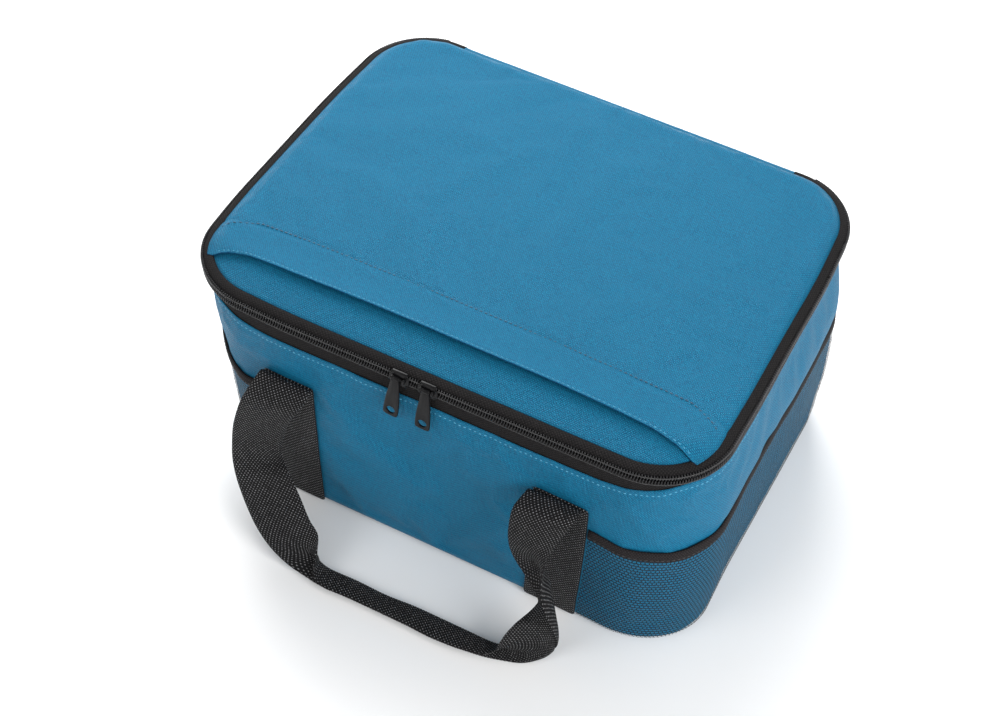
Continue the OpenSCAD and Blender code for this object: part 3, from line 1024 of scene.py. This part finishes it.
def lid_pad_surface(co):
    placed = settle(Vector((co[0], co[1], ZIP_Z)))
    top = clamp((co[2] - LID_PAD_LOW) / (5 * MM))
    return Vector((placed.x, placed.y, mix(co[2], LID_EDGE_Z - 1.6 * MM + lid_rise(co[0], co[1]), top)))


lid_pad = piece("lid_padding", bend_all(slab(pad_line, LID_PAD_LOW + 0.4 * MM, LID_PAD_LOW + 5 * MM),
                                        lid_pad_surface), FOAM)
fit(lid_pad, "lid", "foam", "lid_foam")

def lid_lining_surface(co):
    placed = settle(Vector((co[0], co[1], ZIP_Z)))
    dent = abs(wander((co[0], co[1], 0), 0.024, 6.2)) + 0.5 * abs(wander((co[0], co[1], 0), 0.010, 1.2))
    return Vector((placed.x, placed.y, co[2] - dent * 0.6 * MM))


lid_lining_bm = bend_all(rounded_sheet(pad_line, 84, 68, LID_PAD_LOW - 0.1 * MM), lid_lining_surface)
bmesh.ops.reverse_faces(lid_lining_bm, faces=lid_lining_bm.faces[:])
lid_lining = thicken(piece("lid_foil", lid_lining_bm, FOIL), 0.3 * MM)
fit(lid_lining, "lid", "foil_lining", "lid_lining")


# ---- stitches ----
def stitch_shape(length, thick):
    bm = bmesh.new()
    bmesh.ops.create_uvsphere(bm, u_segments=6, v_segments=4, radius=1.0)
    lay_along_x(bm)
    bmesh.ops.scale(bm, vec=(length / 2, thick / 2, thick / 2), verts=bm.verts[:])
    return bm


STITCH = 3.4 * MM


def stitched(name, places, body, slot="outer_cloth", look=BLUE_THREAD, length=1.9 * MM, thick=0.95 * MM):
    return fit(piece(name, pattern(stitch_shape(length, thick), places), look), body, slot)


def out_of_wall(s):
    return wall.at(s)[1]


def seam_spot(s):
    place = wall.at(s)[0]
    return wall_shape(Vector((place.x, place.y, WALL_TOP - 4.2 * MM)))


stitched("wall_stitches", run_of(-ZIP_END, ZIP_END, STITCH, seam_spot, out_of_wall, 0.25 * MM), "bag")


def hem_seam(name, back_by, curved, look, thick, widest):
    """A row of stitches on the slot panel, so far back from its hem."""
    def spot(x):
        bend = 11 * MM * smooth((abs(x) - 0.148) / 0.032) if curved else 0
        return slot_surface(Vector((x, HEM_Y + back_by - bend, 0)))
    places = run_of(-0.175, 0.175, STITCH, spot, lambda x: Vector((0, 0, 1)), MM,
                    lambda x: abs(x) <= widest)
    stitched(name, places, "lid", look=look, length=2.2 * MM, thick=thick)


hem_seam("hem_stitches", 1.8 * MM, False, BLUE_THREAD, 0.6 * MM, 0.166)
# These stitches are real; their dark colour is painted shade from the puckers along the line.
hem_seam("hem_band_stitches", HEM_BAND + 2.2 * MM, True, PUCKER_SHADE_THREAD, 1.1 * MM, 0.175)

# ---- straps and handles ----
def strip(columns, rows, shape, width, length):
    """A band of webbing: shape(along 0..1, across 0..1) gives each place."""
    bm = bmesh.new()
    bmesh.ops.create_grid(bm, x_segments=rows, y_segments=columns, size=0.5)
    layer = bm.loops.layers.uv.new("UVMap")
    for f in bm.faces:
        for loop in f.loops:
            t, a = loop.vert.co.x + 0.5, loop.vert.co.y + 0.5
            loop[layer].uv = (a * width, t * length)
    for v in bm.verts:
        v.co = shape(v.co.x + 0.5, v.co.y + 0.5)
    return bm


def sewn_strap(name, side, face, node):
    top = STRAP_HIGH.z - 3 * MM

    def shape(t, a):
        x = side * STRAP_X + (a - 0.5) * WEB_W
        height = mix(1.5 * MM, top, t)
        return settle(Vector((x, face * (HALF_D + 0.95 * MM), height)))

    bm = strip(8, 30, shape, WEB_W, top)
    face_out(bm)
    strap = thicken(piece(name, bm, WEBBING), WEB_T, 0.0, 1)
    fit(strap, "bag", "webbing", node)


for name, side, face in (("front_strap_left", -1, -1), ("front_strap_right", 1, -1),
                         ("rear_strap_left", -1, 1), ("rear_strap_right", 1, 1)):
    sewn_strap(name + "_webbing", side, face, name)

# The hanging handle, row by row: x, y and z of its outer edge, middle and inner edge, in millimetres.
HANDLE = [
    (-116, -148.6, 119, -98, -148.8, 119, -79, -148.6, 119),
    (-116, -149.2, 124.2, -98, -149.6, 124.2, -79, -149.2, 123.4),
    (-116, -152, 126, -98, -153, 125.2, -79, -152, 124),
    (-118, -158, 120, -99, -159, 120, -79, -158, 119),
    (-122, -163, 110, -102, -164, 112, -82, -162, 114),
    (-124, -166, 102, -106, -165, 103, -88, -161, 102),
    (-128, -168, 82, -112, -164, 82, -95, -158, 81),
    (-129, -169, 63, -114, -164, 63, -98, -157, 62),
    (-128, -171, 49, -111, -166, 53, -95, -159, 56),
    (-123, -175, 37, -105, -172, 47, -87, -166, 56),
    (-111, -183, 25, -93, -179, 35, -75, -172, 45),
    (-98, -191, 17, -80, -187, 26, -63, -180, 35),
    (-84, -196, 9, -69, -190, 17, -55, -180, 24),
    (-69, -199, 4, -53, -188, 13, -51, -194, 14),
    (-55, -200, 2, -50, -189, 9, -49, -202, 9),
    (-42, -202, 2, -42, -189, 6, -40, -205, 6),
    (-21, -201, 2, -22, -188, 6, -19, -203, 6),
    (3, -201, 2, 1, -189, 6, 5, -203, 6),
    (23, -201, 2, 21, -187, 6, 24, -203, 6),
    (42, -202, 2, 41, -187, 6, 44, -204, 6),
    (61, -200, 2, 61, -187, 6, 62, -203, 6),
    (76, -198, 2, 77, -188, 7, 78, -199, 6),
    (87, -195, 2, 88, -185, 5, 85, -197, 13),
    (102, -190, 2, 99, -183, 6, 85, -192, 16),
    (111, -181, 2, 107, -178, 11, 87, -188, 23),
    (116, -174, 6, 114, -177, 26, 91, -182, 31),
    (119, -177, 22, 116, -178, 42, 95, -173, 33),
    (117, -184, 43, 112, -174, 53, 99, -170, 41),
    (111, -184, 55, 108, -171, 63, 100, -170, 47),
    (105, -181, 65, 103, -167, 72, 96, -169, 52),
    (103, -178, 77, 97, -166, 77, 88, -167, 61),
    (102, -173, 85, 92, -167, 83, 78, -165, 71),
    (104, -168, 96, 89, -168, 92, 73, -164, 81),
    (108, -164, 110, 90, -166, 106, 71, -163, 97),
    (112, -160, 119, 92, -163, 119, 72, -162, 115),
    (113, -156.5, 123, 93, -157.5, 123, 74, -157, 120),
    (113, -152, 123.6, 94, -153, 124.4, 76, -152, 123.4),
    (114, -149.2, 122, 95, -149.6, 123.4, 76, -149.2, 122),
    (114, -148.6, 117, 95, -148.8, 118, 76, -148.6, 117),
]


def through(points, t):
    """A smooth line through the points, at t from 0 to 1."""
    at = clamp(t) * (len(points) - 1)
    k = min(int(at), len(points) - 2)
    f = at - k
    p = [points[clamp(k + j, 0, len(points) - 1)] for j in (-1, 0, 1, 2)]
    return (p[1] * 2 + (p[2] - p[0]) * f + (p[0] * 2 - p[1] * 5 + p[2] * 4 - p[3]) * f * f
            + (p[1] * 3 - p[0] - p[2] * 3 + p[3]) * f * f * f) * 0.5


def lengths_along(middle):
    """The length run at each of 801 even shares of the way along the middle line."""
    samples = [through(middle, k / 800) for k in range(801)]
    run = [0.0]
    for a, b in zip(samples, samples[1:]):
        run.append(run[-1] + (b - a).length)
    return run


HANDLE_ROWS = 480


def handle(name, rows, face, node):
    rows = [[Vector(row[k:k + 3]) * MM for k in (0, 3, 6)] for row in rows]
    rows = [rows[0], rows[1]] + [
        [b * 0.8 + (a + c) * 0.1 for a, b, c in zip(rows[k - 1], rows[k], rows[k + 1])]
        for k in range(2, len(rows) - 2)] + [rows[-2], rows[-1]]
    lines = [[row[k] for row in rows] for k in range(3)]
    run = lengths_along(lines[1])
    total = run[-1]

    def shape(t, a):
        goal = t * total
        share = float(np.interp(goal, run, np.linspace(0, 1, len(run))))
        outer, middle, inner = (through(line, share) for line in lines)
        # a smooth section through the three lines, rounded at the middle
        b = 2 * a - 1
        bulge = middle * 2 - (outer + inner) * 0.5
        flat = abs((inner - outer).length) / WEB_W
        soft = (outer * (1 - a) ** 2 + bulge * 2 * a * (1 - a) + inner * a ** 2)
        sharp = outer.lerp(middle, 2 * a) if a < 0.5 else middle.lerp(inner, 2 * a - 1)
        place = sharp.lerp(soft, clamp(0.25 + flat * 0.75))
        rib = 1 if round(t * HANDLE_ROWS) % 2 else -1
        place.z += rib * 0.55 * MM * smooth((0.55 - flat) / 0.25)
        return Vector((place.x, -place.y if face > 0 else place.y, place.z))

    bm = strip(12, HANDLE_ROWS, shape, WEB_W, total)
    if face > 0:
        bmesh.ops.reverse_faces(bm, faces=bm.faces[:])
    made = thicken_now(piece(name, bm, WEBBING), WEB_T, 0.0)
    subsurf = made.modifiers.new("round", "SUBSURF")
    subsurf.levels = subsurf.render_levels = 1
    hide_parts(node)
    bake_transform(made)
    return made


handle("front_handle_webbing", HANDLE, -1, "front_handle")
handle("rear_handle_webbing", HANDLE, 1, "rear_handle")


# ---- mesh pockets ----
def pocket_shape(co):
    """Carries a clean place on the pocket out to where the slack, sagging net hangs."""
    s, inset = wall.find(co[0], co[1])
    side = abs(s)
    t = clamp((side - POCKET_END) / POCKET_SPAN)
    ends = smooth(t / 0.10) * smooth((1 - t) / 0.10)
    from_mid = abs(t - 0.5) * 2
    top = mix(111, 101.5, smooth((from_mid - 0.25) / 0.5)) + 3 * smooth((from_mid - 0.86) / 0.14)
    h = co[2] / NET_TOP
    height = co[2] * mix(1.0, top * MM / NET_TOP, smooth(h))
    belly = math.sin(math.pi * clamp(h * 0.92 + 0.04)) ** 0.7
    out_by = (0.7 + 0.7 * ends * belly) * MM
    foot = clamp(1 - co[2] / (5 * MM))
    inset += 3.0 * MM * foot * foot
    slack = smooth((h - 0.08) * 5) * smooth((0.97 - h) * 4) * ends
    fold = wander((side, co[2] * 0.35, 5 if s > 0 else 9), 0.026, 2.2)
    round_the_end = smooth((t - 0.16) / 0.12) * smooth((0.84 - t) / 0.12)
    crease = wander((side * 1.9, co[2] * 0.28, 3 if s > 0 else 6), 0.022, 5.1)
    out_by += slack * (1.3 * max(fold, -0.1) + 0.3 * wander((side, co[2], 1), 0.012, 8.3)
                       + 2.2 * round_the_end * max(crease, 0.0) ** 1.3) * MM
    place, out = wall.at(s)
    return settle(Vector((place.x, place.y, height))) + out * (out_by - inset)


def pocket(side, name, net_node, band_node):
    low, high = POCKET_END, HALF_ROUND - POCKET_END
    if side < 0:
        low, high = 2 * HALF_ROUND - high, 2 * HALF_ROUND - low
    profile = wall_profile(0.0, 1.2 * MM, NET_TOP - 0.5 * MM, 4 * MM)
    net_bm = bend_all(sew(profile, low, high, step=4 * MM), pocket_shape)
    net = piece(name + "_net", net_bm, NET)
    fit(net, "bag", "mesh", net_node)
    band = [(-0.2, 98.6), (-1.15, 98.5), (-1.25, 102), (-1.2, 105.4), (-0.6, 106.6), (0.4, 106.7),
            (0.95, 105.4), (0.95, 102), (0.85, 98.5)]
    band_bm = ribbon(band, low, high, pocket_shape, closed=True, step=4 * MM)
    bound = piece(name + "_binding", band_bm, BINDING)
    fit(bound, "bag", "binding_tape", band_node)

    def spot(s):
        place, out = wall.at(s)
        place = place + out * 1.15 * MM
        return pocket_shape(Vector((place.x, place.y, 99.9 * MM)))
    places = run_of(low, high, 3.2 * MM, spot, out_of_wall)
    stitched(name + "_binding_stitches", places, "bag", "binding_tape", BLACK_THREAD, 2.2 * MM, 0.5 * MM)


pocket(1, "right_pocket", "mesh_pocket_right", "pocket_binding_right")
pocket(-1, "left_pocket", "mesh_pocket_left", "pocket_binding_left")


# ---- sliders and pulls ----
def box_part(size, at, rounding):
    """A block with rounded edges: its size and rounding in millimetres, its place in metres."""
    bm = bmesh.new()
    bmesh.ops.create_cube(bm, size=1.0)
    bmesh.ops.scale(bm, vec=Vector(size) * MM, verts=bm.verts[:])
    rounded(bm, bm.edges[:], rounding * MM, 3)
    bmesh.ops.translate(bm, verts=bm.verts[:], vec=at)
    return bm


def joined(parts):
    bm = bmesh.new()
    for part in parts:
        mesh = bpy.data.meshes.new("part")
        part.to_mesh(mesh)
        part.free()
        bm.from_mesh(mesh)
        bpy.data.meshes.remove(mesh)
    return bm


# size, place in front of the teeth, place above their middle, and rounding of each block, in millimetres
SLIDER_PARTS = [((13.8, 1.3, 6.6), 0.65, 0, 0.62), ((9.8, 1.4, 10.6), 0.70, 0, 0.65),
                ((11.0, 2.2, 1.5), 1.5, 4.8, 0.7), ((11.0, 2.2, 1.5), 1.5, -4.8, 0.7)]
# how far each slider and pull lies to the side of its node
SLIDER_SHIFT = {"left": -5.0 * MM, "right": -5.2 * MM}
PULL_SHIFT = {"left": -6.8 * MM, "right": -6.0 * MM}


def slider(name, joint, body, node):
    at = JOINT_AT[joint]
    x = at.x + SLIDER_SHIFT[name.split("_")[0]]
    front = at.y + 0.75 * MM
    parts = [box_part(size, (x, front + deep * MM, ZIP_Z + up_by * MM), rounding)
             for size, deep, up_by, rounding in SLIDER_PARTS]
    for sign in (-1, 1):
        parts.append(box_part((1.9, 3.4, 3.4), (x + sign * 4.1 * MM, at.y - 0.2 * MM, at.z), 0.8))
    rod = bar(14, 0.8 * MM, 8.4 * MM)
    lay_along_x(rod)
    bmesh.ops.translate(rod, verts=rod.verts[:], vec=(x, at.y, at.z))
    parts.append(rod)
    fit(piece(name, joined(parts), ENAMEL), body, "zip_metal", node)


PULL_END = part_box("pull_left")[0].z


def pull(name, joint, body, node, tilt):
    """A flat pull: a plate with a round hole near its square end, and an eye round the bridge."""
    at = JOINT_AT[joint]
    hole_z = PULL_END + 5.4 * MM - at.z
    half, hole_r, sides = 5.2 * MM, 2.95 * MM, 40
    bm = bmesh.new()
    bmesh.ops.create_circle(bm, cap_ends=False, segments=sides, radius=hole_r)
    outer = bmesh.ops.create_circle(bm, cap_ends=False, segments=sides, radius=half)["verts"]
    rise = -hole_z
    for v in outer:
        u, w = v.co.x / half, v.co.y / half
        stretch = (abs(u) ** 5 + abs(w) ** 5) ** (-1 / 5)
        u, w = u * stretch, w * stretch
        up_share = max(w, 0.0)
        width = mix(1.0, 0.64, smooth(up_share))
        v.co = Vector((u * half * width, w * (half if w < 0 else rise), 0))
    for v in bm.verts:
        v.co = Vector((v.co.x, 0, v.co.y + hole_z))
    bmesh.ops.bridge_loops(bm, edges=bm.edges[:])
    made = bmesh.ops.extrude_face_region(bm, geom=bm.faces[:])["geom"]
    bmesh.ops.translate(bm, verts=verts_of(made), vec=(0, -1.5 * MM, 0))
    bmesh.ops.translate(bm, verts=bm.verts[:], vec=(0, 0.75 * MM, 0))
    bmesh.ops.recalc_face_normals(bm, faces=bm.faces[:])
    rounded(bm, sharp_edges(bm, 1.0), 0.4 * MM, 2)
    eye = bar(20, 1.6 * MM, 5.4 * MM)
    rounded(eye, [e for e in eye.edges if abs(e.verts[0].co.z - e.verts[1].co.z) < 1e-6], 0.35 * MM, 2)
    lay_along_x(eye)
    whole = joined([bm, eye])
    lean = Matrix.Rotation(tilt, 4, "Y")
    x = at.x + PULL_SHIFT[name.split("_")[0]]
    bmesh.ops.transform(whole, matrix=Matrix.Translation((x, at.y, at.z)) @ lean, verts=whole.verts[:])
    fit(piece(name, whole, ENAMEL), body, "zip_metal", node)


for side in ("left", "right"):
    slider(side + "_slider", side + "_pull", "slider_" + side, "slider_" + side)
    pull(side + "_pull_tab", side + "_pull", "pull_" + side, "pull_" + side,
         math.radians(5 if side == "left" else 2))

# ---- stage and light ----
ground = bmesh.new()
bmesh.ops.create_grid(ground, x_segments=4, y_segments=4, size=6.0)
floor_look = Look("pale_floor", Roughness=0.85, Specular_IOR_Level=0.1)
floor_look.shader.inputs["Base Color"].default_value = (0.92, 0.92, 0.92, 1)
floor = piece("studio_floor", ground, floor_look.made)


def lamp(name, place, aim, size, power):
    light = bpy.data.lights.new(name, "AREA")
    light.shape, light.size, light.size_y = "RECTANGLE", size[0], size[1]
    light.energy = power
    made = bpy.data.objects.new(name, light)
    bpy.context.scene.collection.objects.link(made)
    made.location = place
    made.rotation_euler = (Vector(aim) - Vector(place)).to_track_quat("-Z", "Y").to_euler()


lamp("top_softbox", (-0.60, 0.80, 1.05), (0, 0, 0.15), (1.1, 0.9), 32)
lamp("side_softbox", (1.5, -0.6, 0.75), (0.1, 0, 0.1), (1.0, 1.0), 26)
lamp("front_softbox", (-1.0, -1.9, 1.3), (0, 0, 0.1), (1.4, 1.2), 14)
sky = bpy.data.worlds.new("studio")
bpy.context.scene.world = sky
sky.use_nodes = True
sky.node_tree.nodes["Background"].inputs["Color"].default_value = (1, 1, 1, 1)
sky.node_tree.nodes["Background"].inputs["Strength"].default_value = 0.5
bpy.context.scene.view_settings.view_transform = "Standard"
